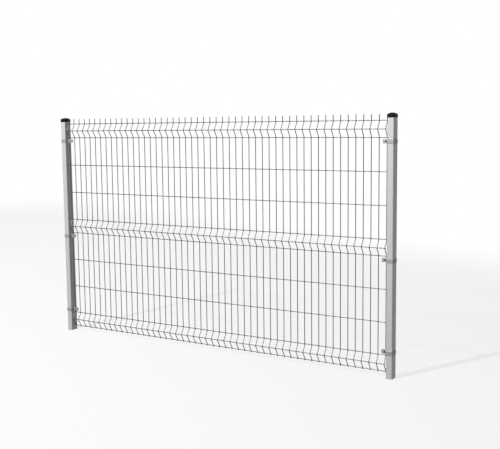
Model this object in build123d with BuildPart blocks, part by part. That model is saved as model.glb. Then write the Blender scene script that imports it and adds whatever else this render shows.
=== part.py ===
"""One bay of rigid mesh fencing: a folded wire panel clamped between two hollow posts.

X runs along the fence, the folds stand out to the front (-Y), Z is up.
The origin is on the ground, midway between the posts. Millimetres.
"""

from build123d import *
from math import atan2, cos, pi
import os

# Wire panel
WIRE_DIAMETER = 5.0
WIRE_SIDES = 6
WIRE_PITCH = 50.0
WIRE_COUNT = 51
FOLD_DEPTH = 26.0
FOLD_HALF_HEIGHT = 42.0
FOLD_LINE_OFFSET = 50.0
FOLD_CRESTS = {"bottom": 50.0, "middle": 750.0, "top": 1450.0}
PLAIN_LINES = (300.0, 500.0, 1000.0, 1200.0)
SPIKE_LENGTH = 36.0
TAIL_LENGTH = 5.0
CROSS_WIRE_OVERHANG = 4.0
GROUND_CLEARANCE = 35.0

# Posts
POST_WIDTH = 40.0
POST_DEPTH = 60.0
POST_WALL = 2.0
POST_CORNER = 4.0
POST_HEIGHT = 1565.0
WIRE_TO_POST = 12.5

# Post caps
CAP_WALL = 1.7
CAP_PLAY = 0.2
CAP_SKIRT_BELOW = 14.0
CAP_SKIRT_ABOVE = 1.0
CAP_CROWN_RISE = 13.0
CAP_END_RISE = 15.0
CAP_SEAT_LEDGE = 5.0
CAP_HOLLOW = 9.0
CAP_HOLLOW_SLOPE = 40

# Clamps
STRAP_HEIGHT = 25.0
STRAP_THICKNESS = 2.0
STRAP_CORNER_GAP = 0.2
STRAP_EAR_LENGTH = 40.0
STRAP_EAR_BEND = 3.0
STRAP_EAR_CLIP = 4.0
CLAMP_FROM_LINE = 22.5

# Clamp bolts and nuts, metric size 6
BOLT_DIAMETER = 6.0
BOLT_LENGTH = 20.0
BOLT_FROM_POST = 19.0
BOLT_HOLE = 6.6
HEAD_DIAMETER = 10.5
HEAD_HEIGHT = 3.3
HEAD_CHAMFER = 2.2
NUT_ACROSS_FLATS = 10.0
NUT_HEIGHT = 5.0
NUT_PLAY = 0.05
SMALL_ROUND_SIDES = 8

# Derived places
WIRE_RADIUS = WIRE_DIAMETER / 2
PANEL_WIDTH = WIRE_PITCH * (WIRE_COUNT - 1)
EDGE_WIRE_X = PANEL_WIDTH / 2
TOP_LINE = FOLD_CRESTS["top"] + FOLD_LINE_OFFSET
POST_INNER_X = EDGE_WIRE_X + WIRE_TO_POST
POST_X = POST_INNER_X + POST_WIDTH / 2
BOLT_X = POST_INNER_X - BOLT_FROM_POST
EAR_FACE_Y = WIRE_RADIUS + STRAP_THICKNESS
FOLD_ANGLE = atan2(FOLD_DEPTH, FOLD_HALF_HEIGHT)
SIDES = {"left": -1, "right": 1}
CLAMP_HEIGHTS = {
    "bottom": FOLD_CRESTS["bottom"] + FOLD_LINE_OFFSET + CLAMP_FROM_LINE,
    "middle": FOLD_CRESTS["middle"] - FOLD_LINE_OFFSET - CLAMP_FROM_LINE,
    "top": FOLD_CRESTS["top"] - FOLD_LINE_OFFSET - CLAMP_FROM_LINE,
}


def save(built, name):
    """Label a finished piece and write its file."""
    built.part.label = name
    export_step(built.part, f"parts/{name}.step")


def wire_section():
    """The section of every wire: its flats face front and back, where crossing wires are welded."""
    RegularPolygon(WIRE_RADIUS, WIRE_SIDES, major_radius=False, rotation=180 / WIRE_SIDES)


def small_round(diameter, mode=Mode.ADD):
    """A round the size of a bolt, drawn as a polygon about it with flats at its sides, top and bottom."""
    RegularPolygon(
        diameter / 2, SMALL_ROUND_SIDES, major_radius=False, rotation=180 / SMALL_ROUND_SIDES, mode=mode
    )


os.makedirs("parts", exist_ok=True)

# Vertical wires: straight, with a V at each fold, ending in a short tail below and a spike above
wire_route = [(0, -TAIL_LENGTH)]
for crest in FOLD_CRESTS.values():
    wire_route += [(0, crest - FOLD_HALF_HEIGHT), (-FOLD_DEPTH, crest), (0, crest + FOLD_HALF_HEIGHT)]
wire_route.append((0, TOP_LINE + SPIKE_LENGTH))

with BuildPart() as folded_wire:
    with BuildLine(Plane((0, 0, GROUND_CLEARANCE), x_dir=(0, 1, 0), z_dir=(1, 0, 0))) as bent_line:
        Polyline(*wire_route)
    with BuildSketch(Plane(bent_line.line @ 0, x_dir=(0, 1, 0), z_dir=bent_line.line % 0)):
        wire_section()
    sweep(transition=Transition.RIGHT)

for side, sign in SIDES.items():
    with BuildPart() as edge_wire:
        with Locations((sign * EDGE_WIRE_X, 0, 0)):
            add(folded_wire.part)
    save(edge_wire, f"{side}_edge_wire")

with BuildPart() as inner_wires:
    with GridLocations(WIRE_PITCH, 0, WIRE_COUNT - 2, 1):
        add(folded_wire.part)
save(inner_wires, "inner_vertical_wires")

# Cross wires: straight, behind the vertical wires and touching each of them.
# Along a crest the cross wire lies inside the fold, where its corners meet both legs of the V.
wire_corner = WIRE_RADIUS / cos(pi / WIRE_SIDES)
corner_reach = wire_corner * cos(FOLD_ANGLE - pi / WIRE_SIDES)
crest_seat = (WIRE_RADIUS + corner_reach) / cos(FOLD_ANGLE)

cross_wires = {}
for fold, crest in FOLD_CRESTS.items():
    cross_wires[f"{fold}_fold_lower_wire"] = (WIRE_DIAMETER, crest - FOLD_LINE_OFFSET)
    cross_wires[f"{fold}_fold_crest_wire"] = (crest_seat - FOLD_DEPTH, crest)
    cross_wires[f"{fold}_fold_upper_wire"] = (WIRE_DIAMETER, crest + FOLD_LINE_OFFSET)
for number, height in enumerate(PLAIN_LINES, start=1):
    cross_wires[f"plain_cross_wire_{number}"] = (WIRE_DIAMETER, height)

for name, (y, height) in cross_wires.items():
    with BuildPart() as cross_wire:
        with BuildSketch(Plane((0, y, GROUND_CLEARANCE + height), x_dir=(0, 1, 0), z_dir=(1, 0, 0))):
            wire_section()
        extrude(amount=EDGE_WIRE_X + CROSS_WIRE_OVERHANG, both=True)
    save(cross_wire, name)

# Posts: rectangular tube with rounded corners, cut square at both ends
for side, sign in SIDES.items():
    with BuildPart() as post:
        with BuildSketch():
            with Locations((sign * POST_X, 0)):
                RectangleRounded(POST_WIDTH, POST_DEPTH, POST_CORNER)
                RectangleRounded(
                    POST_WIDTH - 2 * POST_WALL,
                    POST_DEPTH - 2 * POST_WALL,
                    POST_CORNER - POST_WALL,
                    mode=Mode.SUBTRACT,
                )
        extrude(amount=POST_HEIGHT)
    save(post, f"{side}_post")

# Post caps: a skirt that slips over the post, a ledge that sits on its end and a crown arched both ways
cap_grow = CAP_PLAY + CAP_WALL
cap_width = POST_WIDTH + 2 * cap_grow
cap_depth = POST_DEPTH + 2 * cap_grow
crown_base = CAP_SKIRT_BELOW + CAP_SKIRT_ABOVE
for side, sign in SIDES.items():
    cap_foot = Plane((sign * POST_X, 0, POST_HEIGHT - CAP_SKIRT_BELOW))
    with BuildPart() as cap:
        with BuildSketch(cap_foot):
            RectangleRounded(cap_width, cap_depth, POST_CORNER + cap_grow)
        extrude(amount=crown_base + CAP_END_RISE)
        for across, span, rise in ((Axis.X, cap_width, CAP_CROWN_RISE), (Axis.Y, cap_depth, CAP_END_RISE)):
            along = across.direction.cross(Axis.Z.direction)
            with BuildSketch(Plane(cap_foot.origin, x_dir=across.direction, z_dir=along)):
                with BuildLine():
                    Polyline((-span / 2, crown_base), (-span / 2, 0), (span / 2, 0), (span / 2, crown_base))
                    SagittaArc((-span / 2, crown_base), (span / 2, crown_base), rise)
                make_face()
            extrude(amount=cap_depth, both=True, mode=Mode.INTERSECT)
        with BuildSketch(cap_foot):
            RectangleRounded(POST_WIDTH + 2 * CAP_PLAY, POST_DEPTH + 2 * CAP_PLAY, POST_CORNER + CAP_PLAY)
        extrude(amount=CAP_SKIRT_BELOW, mode=Mode.SUBTRACT)
        with BuildSketch(cap_foot.offset(CAP_SKIRT_BELOW)):
            Rectangle(POST_WIDTH - 2 * CAP_SEAT_LEDGE, POST_DEPTH - 2 * CAP_SEAT_LEDGE)
        extrude(amount=CAP_HOLLOW, taper=CAP_HOLLOW_SLOPE, mode=Mode.SUBTRACT)
    save(cap, f"{side}_post_cap")

# Clamp straps: one band bent round the post, its two ears closed on the edge wire
half = STRAP_THICKNESS / 2
for side, sign in SIDES.items():
    ear_x = sign * (POST_INNER_X - STRAP_EAR_LENGTH)
    inner_x = sign * (POST_INNER_X - half)
    outer_x = sign * (POST_INNER_X + POST_WIDTH + half)
    face_y = POST_DEPTH / 2 + half
    ear_y = WIRE_RADIUS + half
    route = [
        (ear_x, -ear_y),
        (inner_x, -ear_y),
        (inner_x, -face_y),
        (outer_x, -face_y),
        (outer_x, face_y),
        (inner_x, face_y),
        (inner_x, ear_y),
        (ear_x, ear_y),
    ]
    corner = POST_CORNER - STRAP_CORNER_GAP + half
    bends = [STRAP_EAR_BEND] + [corner] * 4 + [STRAP_EAR_BEND]
    for place, height in CLAMP_HEIGHTS.items():
        centre_z = GROUND_CLEARANCE + height
        with BuildPart() as strap:
            with BuildSketch(Plane.XY.offset(centre_z - STRAP_HEIGHT / 2)):
                with BuildLine():
                    FilletPolyline(*route, radius=bends)
                trace(line_width=STRAP_THICKNESS)
            extrude(amount=STRAP_HEIGHT)
            ear_ends = strap.faces().filter_by(Axis.X).group_by(Axis.X)[0 if sign > 0 else -1]
            chamfer(ear_ends.edges().filter_by(Axis.Y), STRAP_EAR_CLIP)
            with BuildSketch(Plane((sign * BOLT_X, 0, centre_z), z_dir=(0, 1, 0))):
                small_round(BOLT_HOLE)
            extrude(amount=EAR_FACE_Y, both=True, mode=Mode.SUBTRACT)
        save(strap, f"{side}_{place}_strap")

# Clamp bolts and nuts: the low button head lies on the front ear, the nut on the back ear
for side, sign in SIDES.items():
    for place, height in CLAMP_HEIGHTS.items():
        front = Plane((sign * BOLT_X, -EAR_FACE_Y, GROUND_CLEARANCE + height), z_dir=(0, -1, 0))
        back = Plane((sign * BOLT_X, EAR_FACE_Y, GROUND_CLEARANCE + height), z_dir=(0, 1, 0))
        with BuildPart() as bolt:
            with BuildSketch(front):
                small_round(HEAD_DIAMETER)
            extrude(amount=HEAD_HEIGHT)
            chamfer(bolt.faces().sort_by(Axis.Y)[0].edges(), HEAD_CHAMFER)
            with BuildSketch(front):
                Circle(BOLT_DIAMETER / 2)
            extrude(amount=-BOLT_LENGTH)
        save(bolt, f"{side}_{place}_bolt")
        with BuildPart() as nut:
            with BuildSketch(back):
                RegularPolygon(NUT_ACROSS_FLATS / 2, 6, major_radius=False)
                small_round(BOLT_DIAMETER + 2 * NUT_PLAY, mode=Mode.SUBTRACT)
            extrude(amount=NUT_HEIGHT)
        save(nut, f"{side}_{place}_nut")
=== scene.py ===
# %% [markdown]
# One bay of mesh fencing: a welded wire panel with three folds, hung between two hollow posts by
# bolted straps. The packed frame already has every piece in its place, in metres, so this lesson
# starts by loading it and then dresses it piece by piece. X runs along the fence, -Y is the front
# that the folds stand out to, and Z is up.

# %% Load the packed frame
import bmesh
import bpy
from math import atan2, cos, pi, radians, tan
from mathutils import Euler, Matrix, Vector


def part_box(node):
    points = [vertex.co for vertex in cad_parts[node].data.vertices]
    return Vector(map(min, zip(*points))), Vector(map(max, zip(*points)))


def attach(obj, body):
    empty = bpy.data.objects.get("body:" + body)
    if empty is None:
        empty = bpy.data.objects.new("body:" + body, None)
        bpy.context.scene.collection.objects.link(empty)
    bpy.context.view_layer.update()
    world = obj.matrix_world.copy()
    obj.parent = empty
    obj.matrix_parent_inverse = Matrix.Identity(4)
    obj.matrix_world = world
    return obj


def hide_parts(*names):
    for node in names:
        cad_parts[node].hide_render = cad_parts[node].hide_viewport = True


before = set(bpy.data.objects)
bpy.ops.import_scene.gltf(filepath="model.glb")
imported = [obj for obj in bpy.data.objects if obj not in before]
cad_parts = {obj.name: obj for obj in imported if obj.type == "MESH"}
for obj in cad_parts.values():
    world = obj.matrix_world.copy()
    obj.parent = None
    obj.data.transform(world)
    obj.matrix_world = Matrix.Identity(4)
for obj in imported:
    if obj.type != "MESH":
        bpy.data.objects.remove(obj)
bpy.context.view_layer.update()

# %% [markdown]
# Most sizes that the wires need can be read from the frame. A vertical wire's box gives the height
# of its two cut ends and its place along the fence, and a cross wire's box gives the height of a
# row of welds. Reading them, in place of typing them again, keeps the dressed wires on the solid
# ones. The mesh pitch shows in no box, because all wires between the edges are one node, so it is
# stated.

# %% Read the wire panel's layout
SIDES = ("left", "right")
FOLD_WIRE_ENDINGS = ("_lower_wire", "_crest_wire", "_upper_wire")
PITCH = 0.05


def centre(node):
    """The middle of a node's box."""
    low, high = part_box(node)
    return (low + high) / 2


cross_wires = [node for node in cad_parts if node.endswith(FOLD_WIRE_ENDINGS)]
cross_wires += [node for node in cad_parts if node.startswith("plain_cross_wire")]
edge_x = {side: centre(f"{side}_edge_wire").x for side in SIDES}
wire_count = round((edge_x["right"] - edge_x["left"]) / PITCH) + 1
wire_foot, wire_tip = (corner.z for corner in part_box("left_edge_wire"))
low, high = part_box(cross_wires[0])
wire_radius = (high.y - low.y) / 2
print("panel:", wire_count, "vertical and", len(cross_wires), "cross wires of radius", wire_radius)
print("height of the vertical wires:", wire_tip - wire_foot)

# %% [markdown]
# Shapes and finishes are both made of nodes here, and a tree that is wired up one link at a time is
# hard to read. Three helpers keep it short. One fills a node's inputs, each with a value or with a
# link from another node. One adds a node and fills it, and one hands on what the new node makes.

# %% Helpers that add a node
NODE_SPACING = 220


def fill(tree, node, inputs):
    """Give each named input of a node a value, or one or more links."""
    for key, value in inputs.items():
        for item in value if isinstance(value, list) else [value]:
            if isinstance(item, bpy.types.NodeSocket):
                tree.links.new(item, node.inputs[key])
            else:
                node.inputs[key].default_value = item
    return node


def add_node(tree, kind, inputs=None, **settings):
    """Add a node, set its options and fill its inputs."""
    node = tree.nodes.new(kind)
    node.location.x = NODE_SPACING * len(tree.nodes)
    for key, value in settings.items():
        setattr(node, key, value)
    return fill(tree, node, inputs or {})


def made_by(tree, kind, inputs=None, output=0, **settings):
    """Add a node and hand on one of its outputs."""
    return add_node(tree, kind, inputs, **settings).outputs[output]


print("nodes of a tree stand", NODE_SPACING, "apart")

# %% [markdown]
# Sums are nodes too. With one helper for numbers and one for vectors, a sum in a tree reads much
# like plain arithmetic, and its parts may be values or links.

# %% Helpers for sums
def calculate(tree, operation, *numbers):
    """One Math node."""
    return made_by(tree, "ShaderNodeMath", dict(enumerate(numbers)), operation=operation)


def combine(tree, operation, *vectors, output="Vector"):
    """One Vector Math node."""
    inputs = dict(enumerate(vectors))
    return made_by(tree, "ShaderNodeVectorMath", inputs, output, operation=operation)


print("sums:", calculate.__doc__, combine.__doc__)

# %% [markdown]
# A Geometry Nodes tree is a recipe: sizes go in, a shape comes out. One helper starts a recipe with
# named sizes. The other ends it: copies are made real and get their material, because an export
# keeps meshes and not instances.

# %% Helpers that start and end a recipe
NUMBER, WHOLE, VECTOR = "NodeSocketFloat", "NodeSocketInt", "NodeSocketVector"


def start_recipe(name, sizes):
    """A new geometry tree with these named inputs, and the sockets that hand them out."""
    tree = bpy.data.node_groups.new(name, "GeometryNodeTree")
    kinds = {"Geometry": "NodeSocketGeometry", **sizes, "Material": "NodeSocketMaterial"}
    for size, kind in kinds.items():
        tree.interface.new_socket(size, in_out="INPUT", socket_type=kind)
    tree.interface.new_socket("Geometry", in_out="OUTPUT", socket_type="NodeSocketGeometry")
    print("recipe:", name, "takes", list(kinds))
    return tree, tree.nodes.new("NodeGroupInput").outputs


def end_recipe(tree, sizes, geometry):
    """Make copies real, give them the material, and hand the shape out."""
    real = made_by(tree, "GeometryNodeRealizeInstances", {"Geometry": geometry})
    finish = {"Geometry": real, "Material": sizes["Material"]}
    finished = made_by(tree, "GeometryNodeSetMaterial", finish)
    add_node(tree, "NodeGroupOutput", {"Geometry": finished})
    print("recipe:", tree.name, "has", len(tree.nodes), "nodes")


print("a recipe's sizes are of the kinds", NUMBER, WHOLE, VECTOR)

# %% [markdown]
# A modifier makes its mesh anew each time that the object is evaluated. The finished piece is a
# plain mesh, so the result is copied out and the modifier goes. Smooth shading with sharp creases
# kept by angle makes a sixteen-sided wire look round and leaves its cut end flat. The angle lies
# between the 22.5 degrees at which a wire's sides meet and the 30 degrees of a nut's chamfer.

# %% Helpers that make a plain piece
CREASE = radians(26)


def put_in_scene(name, data):
    """Make an object of a mesh, a lamp or a camera."""
    thing = bpy.data.objects.new(name, data)
    bpy.context.scene.collection.objects.link(thing)
    return thing


def bake(piece):
    """Replace a piece's mesh with the one that its modifiers make."""
    depsgraph = bpy.context.evaluated_depsgraph_get()
    made = bpy.data.meshes.new_from_object(piece.evaluated_get(depsgraph))
    piece.modifiers.clear()
    piece.data = made
    made.calc_loop_triangles()
    return made


def settle(piece, crease=CREASE):
    """Bake a piece and shade it smooth between its creases."""
    made = bake(piece)
    made.shade_smooth()
    made.set_sharp_from_angle(angle=crease)
    return piece


print("creases are kept from", round(CREASE, 3), "radians")

# %% [markdown]
# A recipe runs as a modifier on a few starting points, or on none. Its inputs are set by
# identifier, before the object is first evaluated. What it makes then goes on the body that it
# moves with, and the solids that it stands for are hidden.

# %% Helpers that grow a piece and fit it
def grow(name, tree, values, points=(), edges=()):
    """Run a recipe on a few starting points and keep what it makes."""
    start = bpy.data.meshes.new(name)
    start.from_pydata(points, edges, [])
    piece = put_in_scene(name, start)
    recipe = piece.modifiers.new("Recipe", "NODES")
    recipe.node_group = tree
    for item in tree.interface.items_tree:
        if item.in_out == "INPUT" and item.name in values:
            recipe[item.identifier] = values[item.name]
    return settle(piece)


def fit(piece, body, slot, *nodes):
    """Put a finished piece on its body and hide the nodes that it stands for; the slot is not used.
    """
    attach(piece, body)
    if nodes:
        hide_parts(*nodes)


# %% [markdown]
# A finish is one shader with patterns that feed it. A photo could be wrapped round the parts, but a
# pattern made from coordinates has no seams and no set resolution. The finishes of this fence share
# their first steps: a place on the object, a Noise there for clouds and grain, and a mix of two
# patterns.

# %% Helpers that start a finish
def start_finish(name):
    """A new material, its node tree, and the shader that its patterns feed."""
    material = bpy.data.materials.new(name)
    material.use_nodes = True
    print("finish:", name)
    return material, material.node_tree, material.node_tree.nodes["Principled BSDF"]


def on_object(tree):
    """A point's place on the object, in metres."""
    return made_by(tree, "ShaderNodeTexCoord", output="Object")


def noise(tree, place, detail, scale=1.0):
    """Clouds from 0 to 1, about this many to the metre."""
    clouds = {"Vector": place, "Detail": detail, "Scale": scale}
    return made_by(tree, "ShaderNodeTexNoise", clouds, "Fac")


def mix(tree, share, first, second):
    """One number with a share of another mixed in."""
    return made_by(tree, "ShaderNodeMix", {0: share, 2: first, 3: second}, data_type="FLOAT")


print("patterns:", noise.__doc__, mix.__doc__)

# %% [markdown]
# A pattern becomes a finish in three ways. A ramp turns its tones into greys, a map turns them into
# gloss, and a Bump turns them into relief that is too fine to model.

# %% Helpers that turn a pattern into a finish
def two_greys(tree, tone, tones, dark, light):
    """A dark grey at the start of a span of tones, a light one at its end."""
    ramp = add_node(tree, "ShaderNodeValToRGB", {"Fac": tone})
    for stop, position, grey in zip(ramp.color_ramp.elements, tones, (dark, light)):
        stop.position = position
        stop.color = (*grey, 1)
    return ramp.outputs["Color"]


def gloss_by_tone(tree, tone, tones, ends):
    """Roughness that goes from one end to the other over a span of tones."""
    return made_by(tree, "ShaderNodeMapRange", dict(enumerate((tone, *tones, *ends))))


def relief(tree, height, strength, depth):
    """Fine relief for the shader."""
    bump = {"Height": height, "Strength": strength, "Distance": depth}
    return made_by(tree, "ShaderNodeBump", bump)


print("from pattern to finish:", [step.__name__ for step in (two_greys, gloss_by_tone, relief)])

# %% [markdown]
# The steel is zinc coated. Hot zinc freezes into flat crystals, a few millimetres wide on a thin
# part, each a slightly different grey, and handling leaves faint clouds and rubbed patches. A
# texture of cells gives the crystals, a slow Noise the clouds, and a fast Noise stretched along the
# rolling or drawing direction the fine scratches. How metallic it looks differs: pale fresh zinc on
# a flat face scatters most of the light, and a wire reflects it. A wire's greys are set darker than
# its zinc, as painted shade for the dark look of thin round wires.

# %% Zinc coat
CLOUD_SCALE, CLOUD_DETAIL, CLOUD_SHARE = 14.0, 5.0, 0.6
SCRATCH_DETAIL, SCRATCH_SHARE, SCRATCH_DEPTH = 3.0, 0.3, 0.0004
GREY_TONES = (0.25, 0.75)
GLOSS_TONES, GLOSS_SPREAD = (0.2, 0.8), 0.07


def zinc_coat(name, dark, light, metallic, rough, crystal, scratch, bump, place=on_object):
    """Zinc coated steel: two greys, crystals to the metre, and scratches to the metre by axis."""
    material, tree, shader = start_finish(name)
    plain = place(tree)
    cells = made_by(tree, "ShaderNodeTexVoronoi", {"Vector": plain, "Scale": crystal}, "Color")
    shade = made_by(tree, "ShaderNodeSeparateColor", {"Color": cells}, "Red")
    stretched = made_by(tree, "ShaderNodeMapping", {"Vector": plain, "Scale": scratch})
    lines = noise(tree, stretched, SCRATCH_DETAIL)
    tone = mix(tree, CLOUD_SHARE, shade, noise(tree, plain, CLOUD_DETAIL, CLOUD_SCALE))
    tone = mix(tree, SCRATCH_SHARE, tone, lines)
    dull_to_bright = (rough + GLOSS_SPREAD, rough - GLOSS_SPREAD)
    surface = {
        "Base Color": two_greys(tree, tone, GREY_TONES, dark, light),
        "Roughness": gloss_by_tone(tree, tone, GLOSS_TONES, dull_to_bright),
        "Normal": relief(tree, lines, bump, SCRATCH_DEPTH),
        "Metallic": metallic,
    }
    fill(tree, shader, surface)
    return material


print("zinc:", CLOUD_SCALE, "clouds to the metre, scratches", SCRATCH_DEPTH, "deep")

# %% [markdown]
# The panel's wires are drawn through a die before they are bent, so their marks run along the wire
# and follow it round each fold. Object coordinates know nothing of the folds: a pattern that is
# stretched upright would cross the slanted legs at an angle. So the recipe for a wire will store,
# on every point, where it was on the straight rod: across it, along it, and a shift that differs
# from rod to rod, so that no two look alike. The finish reads these, and one finish does for
# upright and level wires.

# %% Wire finish
def on_straight_rod(tree):
    """A point's place on its rod before the rod was bent: across in X and Y, along in Z."""
    across = made_by(tree, "ShaderNodeAttribute", output="Vector", attribute_name="across")
    along = made_by(tree, "ShaderNodeAttribute", output="Fac", attribute_name="along")
    shift = made_by(tree, "ShaderNodeAttribute", output="Fac", attribute_name="shift")
    run = made_by(tree, "ShaderNodeCombineXYZ", {"Z": calculate(tree, "ADD", along, shift)})
    return combine(tree, "ADD", across, run)


# The wire's greys are darker than its zinc: painted shade for the dark look of thin round wires.
wire_zinc = zinc_coat(
    "wire_zinc",
    dark=(0.130, 0.131, 0.134),
    light=(0.200, 0.202, 0.206),
    metallic=0.9,
    rough=0.45,
    crystal=260.0,
    scratch=(1800, 1800, 40),
    bump=0.35,
    place=on_straight_rod,
)

# %% [markdown]
# A vertical wire is one straight rod that a press bends into three folds. The bend is not a sharp
# corner: the wire takes a small radius, and the cross wire at the crest lies in it. The recipe
# starts from the corner points joined by edges, turns them into a curve, rounds the corners, and
# sweeps a circle along it. A sweep gives a true round section in every leg, which scaled cylinders
# would not. Before the sweep, the route stores how far along it a point is, and the circle where a
# point is across it, for the finish to read.

# %% Recipe for a wire: bend and sweep one rod
WIRE_SIDES = 16
BEND_STEPS = 5


def remember(tree, geometry, name, value, **settings):
    """Store a value under a name, for a finish to read."""
    stored = {"Geometry": geometry, "Name": name, "Value": value}
    return made_by(tree, "GeometryNodeStoreNamedAttribute", stored, **settings)


def sweep(tree, route, section):
    """A bar with closed ends: a section carried along a route."""
    path = {"Curve": route, "Profile Curve": section, "Fill Caps": True}
    return made_by(tree, "GeometryNodeCurveToMesh", path)


wire_recipe, wire_sizes = start_recipe(
    "Wire",
    {
        "Wire Radius": NUMBER,
        "Bend Radius": NUMBER,
        "Pitch": NUMBER,
        "Count": WHOLE,
        "Pattern Shift": NUMBER,
    },
)
route = made_by(wire_recipe, "GeometryNodeMeshToCurve", {"Mesh": wire_sizes["Geometry"]})
bends = {
    "Curve": route,
    "Count": BEND_STEPS,
    "Radius": wire_sizes["Bend Radius"],
    "Limit Radius": True,
}
bent = made_by(wire_recipe, "GeometryNodeFilletCurve", bends, mode="POLY")
length = made_by(wire_recipe, "GeometryNodeSplineParameter", output="Length")
bent = remember(wire_recipe, bent, "along", length)
circle = {"Resolution": WIRE_SIDES, "Radius": wire_sizes["Wire Radius"]}
section = made_by(wire_recipe, "GeometryNodeCurvePrimitiveCircle", circle)
ring = made_by(wire_recipe, "GeometryNodeInputPosition")
section = remember(wire_recipe, section, "across", ring, data_type="FLOAT_VECTOR")
rod = sweep(wire_recipe, bent, section)
print("one rod:", len(wire_recipe.nodes), "nodes so far")

# %% [markdown]
# All vertical wires are alike, so the recipe goes on to copy the rod, at the mesh pitch, to a line
# of points. Fifty separate objects would do too, but they would be slower and hard to change. Each
# copy stores a shift of its own, which moves the finish along the rod.

# %% Recipe for a wire: copy the rod
ROD_SHIFT = 1.7


def points_in_row(tree, sizes):
    """As many points along X as Count says, a Pitch apart."""
    step = made_by(tree, "ShaderNodeCombineXYZ", {"X": sizes["Pitch"]})
    return made_by(tree, "GeometryNodeMeshLine", {"Count": sizes["Count"], "Offset": step})


def copy_to(tree, points, shape, **options):
    """A copy of a shape on each point."""
    copies = {"Points": points, "Instance": shape, **options}
    return made_by(tree, "GeometryNodeInstanceOnPoints", copies)


rods = copy_to(wire_recipe, points_in_row(wire_recipe, wire_sizes), rod)
number = made_by(wire_recipe, "GeometryNodeInputIndex")
shift = calculate(wire_recipe, "MULTIPLY_ADD", number, ROD_SHIFT, wire_sizes["Pattern Shift"])
rods = remember(wire_recipe, rods, "shift", shift, domain="INSTANCE")
end_recipe(wire_recipe, wire_sizes, rods)

# %% [markdown]
# How tight is the bend? The depth and height of a fold show in no box, so they are stated. The
# cross wire of a crest lies inside the fold and touches every wire it crosses. The corner of the
# route stands a known way in front of that cross wire, and rounding it brings the wire back by the
# radius times (1 / cosine of the fold's angle - 1). The radius that brings it back until the two
# round wires touch is the one to use, so it is worked out and not guessed.

# %% Bend radius
FOLD_DEPTH = 0.026
FOLD_HALF_HEIGHT = 0.042

fold_angle = atan2(FOLD_DEPTH, FOLD_HALF_HEIGHT)
crest_seat = FOLD_DEPTH + centre("top_fold_crest_wire").y
bend_radius = (crest_seat - 2 * wire_radius) / (1 / cos(fold_angle) - 1)
print("bend radius", round(bend_radius, 5), "for a seat of", round(crest_seat, 5))

# %% [markdown]
# The corner points of a vertical wire follow the cross wires along the crests, which give the
# height of each fold's front. The fold starts and ends a little nearer than the next cross wires,
# which are welded to straight wire. The two edge wires and the group between them ride on the same
# body, but stay three pieces, as they are in the frame.

# %% Vertical wires
PANEL = "panel_and_posts"
FOLDS = ("bottom", "middle", "top")

corners = [(0.0, wire_foot)]
for fold in FOLDS:
    crest_height = centre(f"{fold}_fold_crest_wire").z
    corners.append((0.0, crest_height - FOLD_HALF_HEIGHT))
    corners.append((-FOLD_DEPTH, crest_height))
    corners.append((0.0, crest_height + FOLD_HALF_HEIGHT))
corners.append((0.0, wire_tip))
joins = [(i, i + 1) for i in range(len(corners) - 1)]


def vertical_wires(name, first_x, count):
    """Folded wires at the mesh pitch, the first of them at first_x."""
    values = {
        "Wire Radius": wire_radius,
        "Bend Radius": bend_radius,
        "Pitch": PITCH,
        "Count": count,
        "Pattern Shift": first_x,
        "Material": wire_zinc,
    }
    piece = grow(name, wire_recipe, values, [(first_x, y, z) for y, z in corners], joins)
    print(name, count, "wires,", len(piece.data.loop_triangles), "triangles")
    return piece


for side in SIDES:
    wire = vertical_wires(f"{side}_folded_edge_wire", edge_x[side], 1)
    fit(wire, PANEL, "wire_steel", f"{side}_edge_wire")
inner = vertical_wires("folded_inner_wires", edge_x["left"] + PITCH, wire_count - 2)
fit(inner, PANEL, "wire_steel", "inner_vertical_wires")

# %% [markdown]
# A cross wire lies level behind the vertical wires, or inside their folds, and holds them at their
# pitch. It is the same rod with no bend, so the same recipe runs on a route of two points, taken
# from the box of the wire that it stands for. A plain cylinder would do too, but it would need a
# finish of its own.

# %% Cross wires
for node in cross_wires:
    low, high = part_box(node)
    middle = centre(node)
    ends = [(low.x, middle.y, middle.z), (high.x, middle.y, middle.z)]
    values = {
        "Wire Radius": wire_radius,
        "Count": 1,
        "Pattern Shift": middle.z,
        "Material": wire_zinc,
    }
    wire = grow(f"round_{node}", wire_recipe, values, ends, [(0, 1)])
    fit(wire, PANEL, "wire_steel", node)
print("cross wires:", len(cross_wires), "with stored", [a.name for a in wire.data.attributes])

# %% [markdown]
# Each crossing is spot welded: current melts the two wires where they touch, and a little steel is
# squeezed out round the spot before the zinc covers it. Modelled one by one that is hundreds of
# small lumps, so a recipe takes one point for each row, spreads a line of points from it, and sets
# a flat ball on each. A seeded random size keeps the row from looking stamped.

# %% Recipe for weld spots
SPOT_SEGMENTS, SPOT_RINGS = 8, 5


def ball(tree, segments, rings, radius=1.0):
    """A ball whose middle is at the origin."""
    globe = {"Segments": segments, "Rings": rings, "Radius": radius}
    return made_by(tree, "GeometryNodeMeshUVSphere", globe)


weld_recipe, weld_sizes = start_recipe(
    "Weld spots",
    {
        "Pitch": NUMBER,
        "Count": WHOLE,
        "Spot Size": VECTOR,
        "Unevenness": NUMBER,
        "Seed": WHOLE,
    },
)
rows = copy_to(weld_recipe, weld_sizes["Geometry"], points_in_row(weld_recipe, weld_sizes))
crossings = made_by(weld_recipe, "GeometryNodeRealizeInstances", {"Geometry": rows})
least = calculate(weld_recipe, "SUBTRACT", 1.0, weld_sizes["Unevenness"])
most = calculate(weld_recipe, "ADD", 1.0, weld_sizes["Unevenness"])
limits = {2: least, 3: most, "Seed": weld_sizes["Seed"]}
uneven = made_by(weld_recipe, "FunctionNodeRandomValue", limits, output=1, data_type="FLOAT")
scaled = {0: weld_sizes["Spot Size"], "Scale": uneven}
size = made_by(weld_recipe, "ShaderNodeVectorMath", scaled, operation="SCALE")
spots = copy_to(weld_recipe, crossings, ball(weld_recipe, SPOT_SEGMENTS, SPOT_RINGS), Scale=size)
end_recipe(weld_recipe, weld_sizes, spots)
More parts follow.
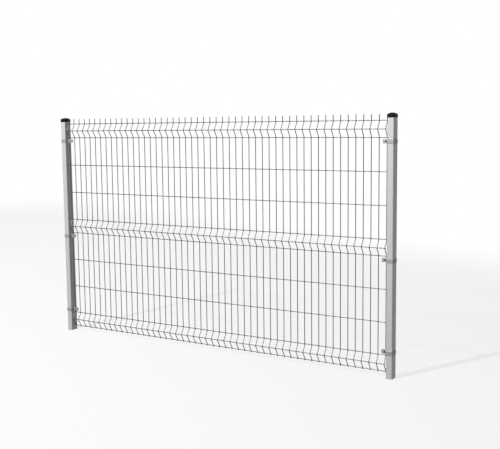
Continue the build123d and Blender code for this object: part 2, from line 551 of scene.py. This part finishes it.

# %% [markdown]
# A row of welds starts on the left edge wire, where the front of the cross wire touches it. The
# zinc on the lumps is like that on the wires, a little lighter and duller, with crystals small
# enough for a lump of four millimetres and a grain that runs in no direction.

# %% Weld spots
# Its dark grey is the wires' darkened one, so it carries the same painted shade.
weld_zinc = zinc_coat(
    "weld_zinc",
    dark=(0.130, 0.131, 0.134),
    light=(0.230, 0.232, 0.236),
    metallic=0.45,
    rough=0.55,
    crystal=900.0,
    scratch=(700, 700, 700),
    bump=0.6,
)
row_starts = []
for node in cross_wires:
    middle = centre(node)
    row_starts.append((edge_x["left"], middle.y - wire_radius, middle.z))
values = {
    "Pitch": PITCH,
    "Count": wire_count,
    "Spot Size": (0.0021, 0.0011, 0.0021),
    "Unevenness": 0.15,
    "Seed": 7,
    "Material": weld_zinc,
}
welds = grow("weld_spots", weld_recipe, values, row_starts)
fit(welds, PANEL, "wire_steel")
print("welds:", len(row_starts) * wire_count, "spots,", len(welds.data.loop_triangles), "triangles")

# %% [markdown]
# The posts are rolled rectangular tube. Their solids already have the rounded corners, the wall and
# the open foot, so they stay as they are and only get a finish: paler zinc than the wires, with
# crystals large enough to see on a flat face and rolling marks along the tube.

# %% Posts
post_zinc = zinc_coat(
    "post_zinc",
    dark=(0.585, 0.590, 0.600),
    light=(0.665, 0.670, 0.675),
    metallic=0.35,
    rough=0.45,
    crystal=95.0,
    scratch=(900, 900, 12),
    bump=0.12,
)
for side in SIDES:
    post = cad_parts[f"{side}_post"]
    post.data.materials.clear()
    post.data.materials.append(post_zinc)
    print(post.name, "finished,", len(post.data.polygons), "triangles")

# %% [markdown]
# A sawn or moulded edge is never perfectly sharp, and the thin highlight along it tells the eye
# what the part is made of. The caps and straps have the right solid shape, so each is a copy of its
# solid: doubled points are merged, flat triangles joined again, and a Bevel rounds the edges.
# Smooth shading would bend the light across the flats as well, so a Weighted Normal lets the
# largest faces decide.

# %% Helpers that round the edges of a copied solid
MERGE_DISTANCE = 1e-6
FLAT_ANGLE = radians(0.5)
EDGE_STEPS = 2
ROUNDED_CREASE = radians(50)


def mesh_of(name, shell, material):
    """A mesh of edited faces, with its finish."""
    mesh = bpy.data.meshes.new(name)
    shell.to_mesh(mesh)
    shell.free()
    mesh.materials.append(material)
    return mesh


def soften(name, node, width, least_angle, material):
    """A copy of a CAD node with its sharp edges rounded."""
    shell = bmesh.new()
    shell.from_mesh(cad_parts[node].data)
    bmesh.ops.remove_doubles(shell, verts=shell.verts, dist=MERGE_DISTANCE)
    bmesh.ops.dissolve_limit(shell, angle_limit=FLAT_ANGLE, verts=shell.verts, edges=shell.edges)
    piece = put_in_scene(name, mesh_of(name, shell, material))
    edge = piece.modifiers.new("Edge", "BEVEL")
    edge.width = width
    edge.segments = EDGE_STEPS
    edge.limit_method = "ANGLE"
    edge.angle_limit = least_angle
    settle(piece, ROUNDED_CREASE)
    flats = piece.modifiers.new("Flats", "WEIGHTED_NORMAL")
    flats.keep_sharp = True
    bake(piece)
    print(name, len(piece.data.loop_triangles), "triangles")
    return piece


print("edges are rounded in", EDGE_STEPS, "steps")

# %% [markdown]
# The caps are black plastic, moulded in a lightly grained tool. Plain black would hide the crown,
# so the finish is a very dark grey with a satin gloss. Handling leaves some spots duller than
# others, so a slow Noise changes tone and gloss, and a fine one gives the grain as a faint bump.
# The bolts and nuts will be black in the same way but of steel, so the values are left open.

# %% Black finish
GRAIN_DETAIL = 2.0
SHEEN_TONES = (0.3, 0.7)


def black_finish(name, clouds, detail, grain, tones, dark, light, gloss, bump, depth, inputs):
    """A black surface: clouds and grain to the metre, two greys, gloss, relief, shader inputs."""
    material, tree, shader = start_finish(name)
    place = on_object(tree)
    tone = noise(tree, place, detail, clouds)
    surface = {
        "Base Color": two_greys(tree, tone, tones, dark, light),
        "Roughness": gloss_by_tone(tree, tone, SHEEN_TONES, gloss),
        "Normal": relief(tree, noise(tree, place, GRAIN_DETAIL, grain), bump, depth),
    }
    fill(tree, shader, {**surface, **inputs})
    return material


cap_plastic = black_finish(
    "cap_black_plastic",
    clouds=55.0,
    detail=4.0,
    grain=1500.0,
    tones=(0.3, 0.7),
    dark=(0.004, 0.004, 0.004),
    light=(0.010, 0.010, 0.010),
    gloss=(0.36, 0.50),
    bump=0.25,
    depth=0.0002,
    inputs={"Specular IOR Level": 0.15},
)

# %% [markdown]
# A cap keeps the rain out of its post. It comes off upwards, so each cap rides on a body of its
# own. Its moulded edges are rounder than the punched edges of the straps. The crown is made of
# many low facets, and the angle from which an edge counts as sharp leaves those alone.

# %% Caps
CAP_EDGE = {"width": 0.0006, "least_angle": radians(24)}

for side in SIDES:
    node = f"{side}_post_cap"
    cap = soften(f"{side}_moulded_cap", node, **CAP_EDGE, material=cap_plastic)
    fit(cap, f"{side}_cap", "cap_plastic", node)

# %% [markdown]
# A clamp strap is punched from zinc coated strip and bent round the post until its two ears close
# on the edge wire. Its solid already has the bends and the holes, so a softened copy does. The
# strip's rolling marks run level, round the post, so the scratches are stretched in X and Y. It is
# a little darker and duller than the post.

# %% Straps
CLAMPS = ("bottom", "middle", "top")
STRAP_EDGE = {"width": 0.0003, "least_angle": radians(40)}

strap_zinc = zinc_coat(
    "strap_zinc",
    dark=(0.372, 0.375, 0.381),
    light=(0.482, 0.485, 0.491),
    metallic=0.45,
    rough=0.48,
    crystal=160.0,
    scratch=(60, 60, 1400),
    bump=0.3,
)
for side in SIDES:
    for clamp in CLAMPS:
        node = f"{side}_{clamp}_strap"
        strap = soften(f"{side}_{clamp}_bent_strap", node, **STRAP_EDGE, material=strap_zinc)
        fit(strap, PANEL, "clamp_steel", node)

# %% [markdown]
# The bolts and nuts are blackened steel. The black skin is thin and slightly uneven: oil darkens it
# in clouds, from a near black to a browner grey, and a fine grain gives it relief. A dark, mostly
# metallic shader with a broken-up gloss reads as that, where a flat black would read as plastic.

# %% Blackened steel
fastener_black = black_finish(
    "fastener_black",
    clouds=320.0,
    detail=5.0,
    grain=2600.0,
    tones=(0.3, 0.75),
    dark=(0.010, 0.010, 0.011),
    light=(0.036, 0.034, 0.032),
    gloss=(0.34, 0.52),
    bump=0.2,
    depth=0.0001,
    inputs={"Metallic": 0.8},
)

# %% [markdown]
# Bolts and nuts are turned and cut from bar, and their recipes work in the same way: they start
# from simple solids, keep what two of them share, or cut one out of another. Such cuts go wrong
# where two faces share a plane or two edges meet. The exact solver is the most careful one, and
# the solids of the next cells are chosen so that they never meet like that.

# %% Helpers for turned parts
HEXAGON = 6


def times(tree, size, factor):
    """A size taken so many times."""
    return calculate(tree, "MULTIPLY", size, factor)


def cylinder(tree, sides, radius, depth):
    """A cylinder whose middle is at the origin, standing along Z."""
    shape = {"Vertices": sides, "Radius": radius, "Depth": depth}
    return made_by(tree, "GeometryNodeMeshCylinder", shape)


def move(tree, shape, place=(0, 0, 0), angles=(0, 0, 0)):
    """Turn a shape about X, Y and Z, and then carry it to a place."""
    there = {"Geometry": shape, "Translation": place, "Rotation": Euler(angles)}
    return made_by(tree, "GeometryNodeTransform", there)


def raise_by(tree, shape, height):
    """Move a shape along Z."""
    return move(tree, shape, made_by(tree, "ShaderNodeCombineXYZ", {"Z": height}))


def shared(tree, shape, other):
    """What two shapes have in common."""
    both = {"Mesh 2": [shape, other]}
    return made_by(tree, "GeometryNodeMeshBoolean", both, operation="INTERSECT", solver="EXACT")


def cut(tree, shape, tool):
    """A shape without what a tool takes out of it."""
    both = {"Mesh 1": shape, "Mesh 2": tool}
    return made_by(tree, "GeometryNodeMeshBoolean", both, operation="DIFFERENCE", solver="EXACT")


print("turned parts:", shared.__doc__, cut.__doc__)

# %% [markdown]
# The bolt is an M6 with a low button head and a hexagon socket for its key. A lathe turns such a
# head as part of a ball, so the recipe keeps what a disc and a large ball have in common, and cuts
# the socket out with a six-sided bar. The disc is twice as high as the head, so that it reaches
# past the dome, and the ball is turned until its edges lie between those of the disc and the bar.
# Behind the head is the thread's core.

# %% Recipe for a bolt: head and core
BALL_SIDES, BALL_RINGS = 48, 40
CORE_SIDES = 24

bolt_recipe, bolt_sizes = start_recipe(
    "Bolt",
    {
        "Head Radius": NUMBER,
        "Head Height": NUMBER,
        "Dome Radius": NUMBER,
        "Socket Radius": NUMBER,
        "Socket Depth": NUMBER,
        "Crest Radius": NUMBER,
        "Root Radius": NUMBER,
        "Length": NUMBER,
        "Pitch": NUMBER,
        "Seat": VECTOR,
    },
)
head_top = bolt_sizes["Head Height"]
disc_height = times(bolt_recipe, head_top, 2.0)
disc = cylinder(bolt_recipe, BALL_SIDES, bolt_sizes["Head Radius"], disc_height)
disc = raise_by(bolt_recipe, disc, head_top)
dome = ball(bolt_recipe, BALL_SIDES, BALL_RINGS, bolt_sizes["Dome Radius"])
dome = move(bolt_recipe, dome, angles=(0, 0, pi / BALL_SIDES))
dome_middle = calculate(bolt_recipe, "SUBTRACT", head_top, bolt_sizes["Dome Radius"])
dome = raise_by(bolt_recipe, dome, dome_middle)
key_length = times(bolt_recipe, bolt_sizes["Socket Depth"], 2.0)
key_bar = cylinder(bolt_recipe, HEXAGON, bolt_sizes["Socket Radius"], key_length)
key_bar = raise_by(bolt_recipe, key_bar, head_top)
head = cut(bolt_recipe, shared(bolt_recipe, disc, dome), key_bar)
core = cylinder(bolt_recipe, CORE_SIDES, bolt_sizes["Root Radius"], bolt_sizes["Length"])
core = raise_by(bolt_recipe, core, times(bolt_recipe, bolt_sizes["Length"], -0.5))
print("head and core:", len(bolt_recipe.nodes), "nodes so far")

# %% [markdown]
# The thread is right-handed with a 1 mm pitch: a ridge that winds along the core. Its path is a
# spiral halfway up the ridge, which climbs one pitch in each turn. The spiral node climbs the
# left-handed way unless it is reversed. The thread stops a little short of both ends of the core.

# %% Recipe for a bolt: the thread's path
THREAD_STEPS = 20
UNTHREADED_TURNS = 1.2

pitch = bolt_sizes["Pitch"]
turns = calculate(bolt_recipe, "DIVIDE", bolt_sizes["Length"], pitch)
turns = calculate(bolt_recipe, "SUBTRACT", turns, UNTHREADED_TURNS)
depth = calculate(bolt_recipe, "SUBTRACT", bolt_sizes["Crest Radius"], bolt_sizes["Root Radius"])
mid_radius = calculate(bolt_recipe, "MULTIPLY_ADD", depth, 0.5, bolt_sizes["Root Radius"])
spiral = {
    "Resolution": THREAD_STEPS,
    "Rotations": turns,
    "Start Radius": mid_radius,
    "End Radius": mid_radius,
    "Height": calculate(bolt_recipe, "MULTIPLY", turns, pitch),
    "Reverse": True,
}
helix = made_by(bolt_recipe, "GeometryNodeCurveSpiral", spiral)
helix = made_by(bolt_recipe, "GeometryNodeSetCurveNormal", {"Curve": helix}, mode="Z_UP")
print("with the thread's path:", len(bolt_recipe.nodes), "nodes so far")

# %% [markdown]
# The ridge is a trapezium, narrow at its crest and wide at its foot, swept along that path. Its
# crest stays on the radius that the solid shank has, so it turns in the nut without touching. Head,
# core and thread are joined, and the bolt is laid down so that its head looks to the front.

# %% Recipe for a bolt: sweep the ridge and join the parts
CREST_SHARE, FOOT_SHARE = 0.16, 0.84
START_SHARE = 0.99

trapezium = {
    "Bottom Width": times(bolt_recipe, pitch, FOOT_SHARE),
    "Top Width": times(bolt_recipe, pitch, CREST_SHARE),
    "Offset": 0.0,
    "Height": depth,
}
outline = "GeometryNodeCurvePrimitiveQuadrilateral"
ridge = made_by(bolt_recipe, outline, trapezium, mode="TRAPEZOID")
ridge = move(bolt_recipe, ridge, angles=(0, 0, -pi / 2))
start = times(bolt_recipe, bolt_sizes["Length"], -START_SHARE)
start = calculate(bolt_recipe, "MULTIPLY_ADD", pitch, 0.5, start)
thread = raise_by(bolt_recipe, sweep(bolt_recipe, helix, ridge), start)
bolt = made_by(bolt_recipe, "GeometryNodeJoinGeometry", {0: [head, core, thread]})
bolt = move(bolt_recipe, bolt, bolt_sizes["Seat"], (pi / 2, 0, 0))
end_recipe(bolt_recipe, bolt_sizes, bolt)

# %% [markdown]
# A nut is cut from hexagon bar, and a lathe takes its corners off with a cone, which leaves curved
# lines on the flats that a bevelled hexagon lacks. The recipe does the same: a six-sided bar, a
# cone the right way up and one upside down have just that shape in common, and the bore is cut from
# it. The bar, the cones and the drill reach past the nut by different lengths, and with 54 sides no
# edge of a cone meets a corner of the bar.

# %% Recipe for a nut
CONE_SIDES, BORE_SIDES = 54, 32
CHAMFER_ANGLE = radians(30)
FACE_SHARE = 0.95
BAR_REACH, CONE_REACH, DRILL_REACH = 1.6, 1.5, 4.0

nut_recipe, nut_sizes = start_recipe(
    "Nut", {"Across Flats": NUMBER, "Height": NUMBER, "Bore Radius": NUMBER, "Seat": VECTOR}
)
flats, nut_top = nut_sizes["Across Flats"], nut_sizes["Height"]
corner = times(nut_recipe, flats, 0.5 / cos(pi / HEXAGON))
bar = cylinder(nut_recipe, HEXAGON, corner, times(nut_recipe, nut_top, BAR_REACH))
bar = move(nut_recipe, bar, angles=(0, 0, pi / 2))
bar = raise_by(nut_recipe, bar, times(nut_recipe, nut_top, 0.5))
face = times(nut_recipe, flats, FACE_SHARE / 2)
reach = times(nut_recipe, nut_top, CONE_REACH)
slopes = {
    "Vertices": CONE_SIDES,
    "Radius Top": face,
    "Radius Bottom": calculate(nut_recipe, "MULTIPLY_ADD", reach, 1 / tan(CHAMFER_ANGLE), face),
    "Depth": reach,
}
cone = made_by(nut_recipe, "GeometryNodeMeshCone", slopes)
upside_down = raise_by(nut_recipe, move(nut_recipe, cone, angles=(pi, 0, 0)), reach)
upright = raise_by(nut_recipe, cone, calculate(nut_recipe, "SUBTRACT", nut_top, reach))
blank = shared(nut_recipe, shared(nut_recipe, bar, upright), upside_down)
drill_length = times(nut_recipe, nut_top, DRILL_REACH)
drill = cylinder(nut_recipe, BORE_SIDES, nut_sizes["Bore Radius"], drill_length)
nut = move(nut_recipe, cut(nut_recipe, blank, drill), nut_sizes["Seat"], (-pi / 2, 0, 0))
end_recipe(nut_recipe, nut_sizes, nut)

# %% [markdown]
# All six bolts have the same sizes, and so have the nuts. They are those of the solids, with the
# parts that the solids leave out: the socket, the dome and the thread. The dome's radius is the one
# that rises from the rim to the top of the head.

# %% Sizes of the bolts and nuts
HEAD_RADIUS = 0.00525
HEAD_HEIGHT = 0.0033
RIM_HEIGHT = 0.0004
KEY_ACROSS_FLATS = 0.004

rise = HEAD_HEIGHT - RIM_HEIGHT
bolt_values = {
    "Head Radius": HEAD_RADIUS,
    "Head Height": HEAD_HEIGHT,
    "Dome Radius": (HEAD_RADIUS**2 + rise**2) / (2 * rise),
    "Socket Radius": KEY_ACROSS_FLATS / 2 / cos(pi / HEXAGON),
    "Socket Depth": 0.0021,
    "Crest Radius": 0.003,
    "Root Radius": 0.0024,
    "Length": 0.020,
    "Pitch": 0.001,
    "Material": fastener_black,
}
nut_values = {
    "Across Flats": 0.010,
    "Height": 0.005,
    "Bore Radius": 0.00305,
    "Material": fastener_black,
}
print("radius of a bolt's dome:", round(bolt_values["Dome Radius"], 5))

# %% [markdown]
# Each bolt turns and each nut travels on its own body, so every one is a piece of its own. A bolt's
# seat is the plane under its head, and a nut's seat is the back ear that it bears on. Both are read
# from the boxes of the solids that they stand for.

# %% Bolts and nuts
def seat_of(node, depth):
    """The point on a fastener's axis that lies this deep behind its front."""
    middle = centre(node)
    return (middle.x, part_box(node)[0].y + depth, middle.z)


for side in SIDES:
    for clamp in CLAMPS:
        node = f"{side}_{clamp}_bolt"
        values = {**bolt_values, "Seat": seat_of(node, HEAD_HEIGHT)}
        bolt = grow(f"{side}_{clamp}_threaded_bolt", bolt_recipe, values)
        fit(bolt, f"{node}_body", "fastener_steel", node)
        node = f"{side}_{clamp}_nut"
        values = {**nut_values, "Seat": seat_of(node, 0.0)}
        nut = grow(f"{side}_{clamp}_hexagon_nut", nut_recipe, values)
        fit(nut, f"{node}_body", "fastener_steel", node)
print("bolt", len(bolt.data.loop_triangles), "and nut", len(nut.data.loop_triangles), "triangles")

# %% [markdown]
# The fence stands on a pale studio floor that has no far edge: it goes over into white. A curved
# backdrop would do that too, but it would show as a wall from behind. Here a wide disc is like a
# light table: white paper that glows, so that the lamp's shadows on it stay faint. The glow is
# painted light: it stands for the studio's light on the floor, a touch stronger on the left and
# slightly uneven.

# %% Glowing paper
PAPER_TONE, PAPER_ROUGHNESS, PAPER_SPECULAR = 0.11, 0.9, 0.1
PAPER_CLOUDS, PAPER_DETAIL = 3.0, 2.0
PAPER_GLOW, CLOUD_GLOW = 0.79, 0.012
GLOW_SLOPE, GLOW_LEFT, GLOW_RIGHT = -0.012, -4.0, 3.0

studio_paper, tree, shader = start_finish("studio_paper")
matte = {
    "Base Color": (PAPER_TONE, PAPER_TONE, PAPER_TONE, 1),
    "Roughness": PAPER_ROUGHNESS,
    "Specular IOR Level": PAPER_SPECULAR,
}
fill(tree, shader, matte)
place = on_object(tree)
along = made_by(tree, "ShaderNodeSeparateXYZ", {"Vector": place}, "X")
along = made_by(tree, "ShaderNodeClamp", {"Value": along, "Min": GLOW_LEFT, "Max": GLOW_RIGHT})
clouds = noise(tree, place, PAPER_DETAIL, PAPER_CLOUDS)
level = calculate(tree, "MULTIPLY_ADD", clouds, CLOUD_GLOW, PAPER_GLOW)
level = calculate(tree, "MULTIPLY_ADD", along, GLOW_SLOPE, level)
# The emission is painted light on the floor, stronger on the left.
glow = made_by(tree, "ShaderNodeEmission", {"Strength": level})
paper = made_by(tree, "ShaderNodeAddShader", {0: shader.outputs[0], 1: glow})
print("glow of the paper:", PAPER_GLOW)

# %% [markdown]
# Behind the fence, and far away on every side, the paper gives way to plain white. Two distances
# decide that, one back from the fence and a little to the right, and one from its middle in any
# direction. The larger of the two fades wins.

# %% White distance
FADE_DIRECTION = (0.34, 1, 0)
FADE_BEHIND = (3.2, 6.0)
FADE_AROUND = (9.0, 14.0)

behind = combine(tree, "DOT_PRODUCT", place, FADE_DIRECTION, output="Value")
around = combine(tree, "LENGTH", place, output="Value")
fades = []
for distance, (near, far) in ((behind, FADE_BEHIND), (around, FADE_AROUND)):
    span = {"Value": distance, "From Min": near, "From Max": far}
    fades.append(made_by(tree, "ShaderNodeMapRange", span, interpolation_type="SMOOTHSTEP"))
fade = calculate(tree, "MAXIMUM", *fades)
white = made_by(tree, "ShaderNodeEmission", {"Strength": 1.0})
ground = made_by(tree, "ShaderNodeMixShader", {0: fade, 1: paper, 2: white})
fill(tree, tree.nodes["Material Output"], {"Surface": ground})
print("the paper has turned white", FADE_AROUND[1], "m away")

# %% [markdown]
# The disc is so wide that its edge lies beyond the place where it has turned white. It is kept out
# of the light that falls on the fence and out of its reflections, because the room light of a later
# cell stands for all that comes from around.

# %% Studio floor
FLOOR_RADIUS = 40.0
FLOOR_SIDES = 96

paper_disc = bmesh.new()
bmesh.ops.create_circle(paper_disc, cap_ends=True, segments=FLOOR_SIDES, radius=FLOOR_RADIUS)
floor = put_in_scene("studio_floor", mesh_of("studio_floor", paper_disc, studio_paper))
floor.visible_diffuse = False
floor.visible_glossy = False
print("floor radius", FLOOR_RADIUS)

# %% [markdown]
# One small lamp, high in front and to the left, lights the faces that look forward and draws the
# crisp shadows behind the posts. Its place was worked out from those shadows: a line from the end
# of a post's shadow through the post's top points at the lamp. It is a disc of some width, because
# a single point would make the shadow's edge as sharp far from the post as close to it.

# %% Lamp
LAMP_PLACE = Vector((-2.18, -7.61, 7.78))
LAMP_AIM = Vector((0, 0, 0.6))
LAMP_WIDTH = 0.3
LAMP_POWER = 1715.0

light = bpy.data.lights.new("small_lamp", "AREA")
light.shape = "DISK"
light.size = LAMP_WIDTH
light.energy = LAMP_POWER
lamp = put_in_scene("small_lamp", light)
lamp.location = LAMP_PLACE
lamp.rotation_euler = (LAMP_AIM - LAMP_PLACE).to_track_quat("-Z", "Y").to_euler()
lamp.visible_camera = False
print("lamp:", light.energy, "W")

# %% [markdown]
# The rest of the light comes from the room. Six numbers describe it, one for each direction: how
# bright the room is to the right, behind and above, and to the left, in front and below. A
# direction's squared parts add up to one, so they blend the six without a seam. The camera itself
# sees plain white.

# %% Room light
ROOM_RIGHT_BACK_ABOVE = (0.32, 0.42, 0.22)
ROOM_LEFT_FRONT_BELOW = (0.15, 0.05, 0.17)

world = bpy.data.worlds.new("studio_white")
world.use_nodes = True
bpy.context.scene.world = world
room = world.node_tree
towards = made_by(room, "ShaderNodeTexCoord", output="Generated")
shares = []
for half, levels in (("MAXIMUM", ROOM_RIGHT_BACK_ABOVE), ("MINIMUM", ROOM_LEFT_FRONT_BELOW)):
    part = combine(room, half, towards, (0, 0, 0))
    squared = combine(room, "MULTIPLY", part, part)
    shares.append(combine(room, "DOT_PRODUCT", squared, levels, output="Value"))
seen = made_by(room, "ShaderNodeLightPath", output="Is Camera Ray")
brightness = mix(room, seen, calculate(room, "ADD", *shares), 1.0)
fill(room, room.nodes["Background"], {"Color": (1, 1, 1, 1), "Strength": brightness})
bpy.context.scene.view_settings.view_transform = "Standard"
print("room light:", ROOM_RIGHT_BACK_ABOVE, ROOM_LEFT_FRONT_BELOW)

# %% [markdown]
# The camera stands in front of the fence and to its right, about as high as the posts, turned left
# and tipped slightly down. Its place, angles and lens were fitted to the posts' feet and tops, the
# panel's corners and the rows of wire in the picture. It has a very slight roll, and no depth of
# field.

# %% Camera
CAMERA_PLACE = (3.255, -4.738, 1.523)
TURNED_LEFT, TIPPED_DOWN, ROLLED = 31.935, 6.615, -0.63
FOCAL_LENGTH, SENSOR_WIDTH = 62.55, 36.0

lens = bpy.data.cameras.new("picture_camera")
lens.lens = FOCAL_LENGTH
lens.sensor_width = SENSOR_WIDTH
camera = put_in_scene("picture_camera", lens)
heading = Matrix.Rotation(radians(TURNED_LEFT), 4, "Z")
tip = Matrix.Rotation(radians(90 - TIPPED_DOWN), 4, "X")
roll = Matrix.Rotation(radians(ROLLED), 4, "Z")
camera.matrix_world = Matrix.Translation(CAMERA_PLACE) @ heading @ tip @ roll
bpy.context.scene.camera = camera
print("camera at", tuple(camera.location))

# %% [markdown]
